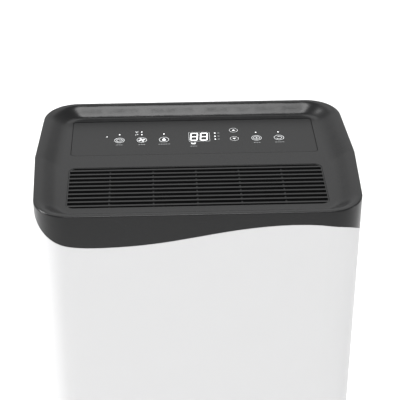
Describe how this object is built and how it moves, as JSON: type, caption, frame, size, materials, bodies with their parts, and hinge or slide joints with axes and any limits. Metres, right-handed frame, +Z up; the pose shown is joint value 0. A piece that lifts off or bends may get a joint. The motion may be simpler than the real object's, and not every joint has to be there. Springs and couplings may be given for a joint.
{
  "type": "dehumidifier",
  "caption": "Upright portable compressor dehumidifier on castors: white barrel-plan casing, dished charcoal top with outlet grille and touch panel, front water tank, rear intake",
  "frame": {"origin": "on the floor, under the centre of the casing", "axes": "+Z up; -Y is the front, where the water tank pulls out; +X is the right side seen from the front"},
  "size_m": [0.384, 0.268, 0.6],
  "materials": {
    "white_shell": "fine satin moulded casing plastic",
    "charcoal_cover": "satin charcoal moulded plastic",
    "charcoal_grille": "satin charcoal moulded plastic",
    "panel_black": "smooth printed overlay",
    "display": "dark display window",
    "circuit_board": "solder-masked board",
    "base_grey": "textured dark grey plastic",
    "bay_grey": "plain light grey inner moulding",
    "tank_clear": "translucent smoke water tank",
    "window_clear": "clear level window",
    "lid_white": "satin moulded lid",
    "handle_grey": "satin moulded handle",
    "float_white": "foamed plastic float",
    "magnet": "sintered magnet",
    "rubber": "black moulded rubber",
    "filter_mesh": "woven nylon screen",
    "aluminium_fins": "plain fin stock",
    "copper": "drawn copper tube",
    "zinc_steel": "zinc-plated steel",
    "compressor_black": "black enamelled shell",
    "motor_steel": "grey painted motor case",
    "fan_plastic": "glass-filled black plastic",
    "castor_black": "black moulded fork",
    "castor_tyre": "grey-black wheel tread"
  },
  "bodies": {
    "casing": {"top_cover": "charcoal_cover", "outlet_grille": "charcoal_grille", "control_panel": "panel_black", "display_board": "circuit_board", "display_module": "display", "front_shell": "white_shell", "rear_shell": "white_shell", "left_grip_cup": "white_shell", "right_grip_cup": "white_shell", "case_screws": "zinc_steel", "base_pan": "base_grey", "bay_frame": "bay_grey", "float_sensor": "castor_black", "drip_tray": "bay_grey", "drain_elbow": "bay_grey", "cord_gland": "castor_black", "evaporator_fins": "aluminium_fins", "evaporator_tube": "copper", "condenser_fins": "aluminium_fins", "condenser_tube": "copper", "coil_end_plates": "zinc_steel", "compressor": "compressor_black", "compressor_grommets": "rubber", "compressor_studs": "zinc_steel", "terminal_cover": "castor_black", "accumulator": "compressor_black", "discharge_pipe": "copper", "suction_pipe": "copper", "filter_drier": "copper", "capillary_tube": "copper", "scroll_case": "bay_grey", "scroll_inlet": "bay_grey", "fan_motor": "motor_steel", "control_box": "bay_grey", "main_board": "circuit_board"},
    "tank": {"tank": "tank_clear", "tank_front": "white_shell", "tank_window": "window_clear", "tank_lid": "lid_white"},
    "tank_handle": {"tank_handle": "handle_grey"},
    "float": {"float_arm": "float_white", "float_magnet": "magnet"},
    "intake": {"intake_grille": "white_shell", "filter_frame": "handle_grey", "filter_mesh": "filter_mesh"},
    "fan": {"fan_wheel": "fan_plastic", "fan_shaft": "zinc_steel"},
    "drain_bung": {"drain_bung": "rubber"},
    "front_left_castor": {"front_left_castor_fork": "castor_black", "front_left_castor_axle": "zinc_steel"},
    "front_left_castor_roller": {"front_left_castor_wheel": "castor_tyre"},
    "front_right_castor": {"front_right_castor_fork": "castor_black", "front_right_castor_axle": "zinc_steel"},
    "front_right_castor_roller": {"front_right_castor_wheel": "castor_tyre"},
    "rear_left_castor": {"rear_left_castor_fork": "castor_black", "rear_left_castor_axle": "zinc_steel"},
    "rear_left_castor_roller": {"rear_left_castor_wheel": "castor_tyre"},
    "rear_right_castor": {"rear_right_castor_fork": "castor_black", "rear_right_castor_axle": "zinc_steel"},
    "rear_right_castor_roller": {"rear_right_castor_wheel": "castor_tyre"}
  },
  "joints": [
    {"name": "tank_slide", "type": "slide", "parent": "casing", "child": "tank", "axis": [0, -1, 0], "range_m": [0, 0.25]},
    {"name": "tank_handle_lift", "type": "hinge", "parent": "tank", "child": "tank_handle", "pos_m": [0, -0.0655, 0.2143], "axis": [1, 0, 0], "range_deg": [0, 68]},
    {"name": "float_rise", "type": "hinge", "parent": "tank", "child": "float", "pos_m": [0.06, -0.0205, 0.1903], "axis": [-1, 0, 0], "range_deg": [0, 18]},
    {"name": "intake_pull", "type": "slide", "parent": "casing", "child": "intake", "axis": [0, 1, 0], "range_m": [0, 0.06]},
    {"name": "fan_spin", "type": "hinge", "parent": "casing", "child": "fan", "pos_m": [0, -0.05, 0.43], "axis": [0, 1, 0], "continuous": true},
    {"name": "drain_bung_pull", "type": "slide", "parent": "casing", "child": "drain_bung", "axis": [0, 1, 0], "range_m": [0, 0.03]},
    {"name": "front_left_castor_swivel", "type": "hinge", "parent": "casing", "child": "front_left_castor", "pos_m": [-0.132, -0.086, 0.04], "axis": [0, 0, 1], "continuous": true},
    {"name": "front_left_castor_spin", "type": "hinge", "parent": "front_left_castor", "child": "front_left_castor_roller", "pos_m": [-0.132, -0.079, 0.013], "axis": [1, 0, 0], "continuous": true},
    {"name": "front_right_castor_swivel", "type": "hinge", "parent": "casing", "child": "front_right_castor", "pos_m": [0.132, -0.086, 0.04], "axis": [0, 0, 1], "continuous": true},
    {"name": "front_right_castor_spin", "type": "hinge", "parent": "front_right_castor", "child": "front_right_castor_roller", "pos_m": [0.132, -0.079, 0.013], "axis": [1, 0, 0], "continuous": true},
    {"name": "rear_left_castor_swivel", "type": "hinge", "parent": "casing", "child": "rear_left_castor", "pos_m": [-0.132, 0.086, 0.04], "axis": [0, 0, 1], "continuous": true},
    {"name": "rear_left_castor_spin", "type": "hinge", "parent": "rear_left_castor", "child": "rear_left_castor_roller", "pos_m": [-0.132, 0.093, 0.013], "axis": [1, 0, 0], "continuous": true},
    {"name": "rear_right_castor_swivel", "type": "hinge", "parent": "casing", "child": "rear_right_castor", "pos_m": [0.132, 0.086, 0.04], "axis": [0, 0, 1], "continuous": true},
    {"name": "rear_right_castor_spin", "type": "hinge", "parent": "rear_right_castor", "child": "rear_right_castor_roller", "pos_m": [0.132, 0.093, 0.013], "axis": [1, 0, 0], "continuous": true}
  ]
}
